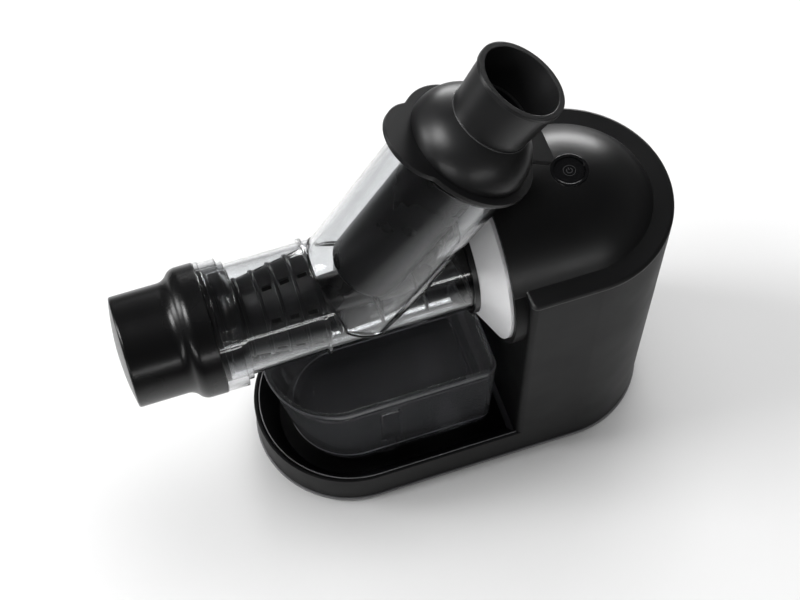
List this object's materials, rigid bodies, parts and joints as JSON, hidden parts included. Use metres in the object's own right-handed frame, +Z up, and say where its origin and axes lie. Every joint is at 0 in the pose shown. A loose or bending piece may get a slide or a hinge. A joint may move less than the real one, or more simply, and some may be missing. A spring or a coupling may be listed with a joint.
{
  "type": "cold press juicer",
  "caption": "Horizontal slow juicer: motor tower with domed top, clear press tube with slanted feed chute and pusher, pulp cup and juice jug.",
  "frame": {"origin": "middle of the footprint, on the surface that the feet stand on", "axes": "+X from the pulp container towards the motor tower, +Z up, +Y across"},
  "size_m": [0.324, 0.1236, 0.3352],
  "materials": {
    "body_plastic": "satin",
    "gloss_black": "gloss",
    "clear_plastic": "clear",
    "smoke_plastic": "clear smoked",
    "silver": "satin",
    "rubber": "matte",
    "screw_plastic": "satin",
    "strainer_plastic": "satin",
    "steel": "machined",
    "motor_steel": "satin",
    "gear_plastic": "matte",
    "board": "matte"
  },
  "bodies": {
    "housing": {"base_plate": "body_plastic", "rubber_feet": "rubber", "lower_housing": "body_plastic", "top_cover": "body_plastic", "drive_cone": "silver", "coupling_collar": "body_plastic", "button_well": "gloss_black", "power_switch": "body_plastic", "idler_pin": "steel", "output_bearings": "steel", "gear_case_front": "gear_plastic", "gear_case_rear": "gear_plastic", "motor_can": "motor_steel", "motor_bearings": "steel", "shaft_seal": "rubber", "circuit_board": "board", "cable_gland": "rubber"},
    "chamber": {"juicing_chamber": "clear_plastic", "bayonet_ring": "body_plastic", "strainer": "strainer_plastic"},
    "seal": {"pulp_seal": "rubber"},
    "container": {"pulp_container": "body_plastic"},
    "pusher": {"pusher_barrel": "body_plastic", "pusher_flange": "body_plastic", "pusher_grip": "body_plastic"},
    "drive": {"drive_shaft": "steel", "output_gear": "gear_plastic", "juicing_screw": "screw_plastic"},
    "idler": {"idler_gear": "gear_plastic"},
    "rotor": {"motor_rotor": "steel"},
    "jug": {"juice_jug": "smoke_plastic"},
    "button": {"power_button": "gloss_black"}
  },
  "joints": [
    {"name": "chamber_pull", "type": "slide", "parent": "housing", "child": "chamber", "axis": [-1, 0, 0], "range_m": [0, 0.12]},
    {"name": "container_turn", "type": "hinge", "parent": "chamber", "child": "seal", "pos_m": [-0.10751, 0, 0.1674], "axis": [1, 0, 0], "range_deg": [0, 20]},
    {"name": "container_pull", "type": "slide", "parent": "seal", "child": "container", "axis": [-1, 0, 0], "range_m": [0, 0.06]},
    {"name": "pusher_lift", "type": "slide", "parent": "chamber", "child": "pusher", "axis": [0.527, 0, 0.8499], "range_m": [0, 0.12]},
    {"name": "screw_spin", "type": "hinge", "parent": "housing", "child": "drive", "pos_m": [0.02749, 0, 0.1674], "axis": [1, 0, 0], "continuous": true},
    {"name": "idler_spin", "type": "hinge", "parent": "housing", "child": "idler", "pos_m": [0.07249, 0, 0.1224], "axis": [1, 0, 0], "continuous": true},
    {"name": "motor_spin", "type": "hinge", "parent": "housing", "child": "rotor", "pos_m": [0.10749, 0, 0.0849], "axis": [1, 0, 0], "continuous": true},
    {"name": "jug_lift", "type": "slide", "parent": "housing", "child": "jug", "axis": [0, 0, 1], "range_m": [0, 0.02]},
    {"name": "button_press", "type": "slide", "parent": "housing", "child": "button", "axis": [0, 0, -1], "range_m": [0, 0.0015], "stiffness_N_per_m": 1200, "springref_m": -0.0005}
  ],
  "couplings": [
    {"joint": "idler_spin", "follows": "screw_spin", "ratio": -4},
    {"joint": "motor_spin", "follows": "screw_spin", "ratio": 16}
  ]
}
